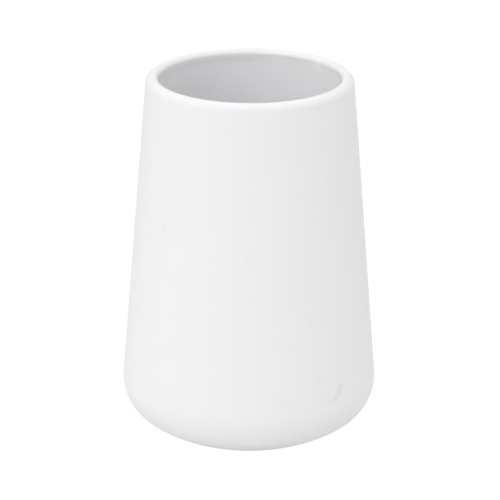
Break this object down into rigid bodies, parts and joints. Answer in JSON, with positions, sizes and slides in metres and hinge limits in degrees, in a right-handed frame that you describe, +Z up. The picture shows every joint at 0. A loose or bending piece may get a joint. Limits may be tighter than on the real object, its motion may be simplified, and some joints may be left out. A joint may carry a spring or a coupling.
{
  "type": "bathroom tumbler",
  "caption": "Round tapered bathroom tumbler with a rolled lip and a rounded base: matte coated outside, glossy glazed inside, standing on a foam pad set in a foot recess.",
  "frame": {"origin": "centre of the foam pad's lower face, on the surface that the tumbler stands on", "axes": "+Z up along the axis of the cup, towards the open mouth; X and Y are alike, because the cup is round"},
  "size_m": [0.08, 0.08, 0.1163],
  "materials": {
    "ceramic": "matte",
    "glaze": "gloss",
    "coat": "matte",
    "foam": "matte",
    "adhesive": "satin"
  },
  "bodies": {
    "root": {"ceramic_body": "ceramic", "inner_glaze": "glaze", "outer_coat": "coat", "base_pad": "foam", "pad_adhesive": "adhesive"}
  },
  "joints": []
}
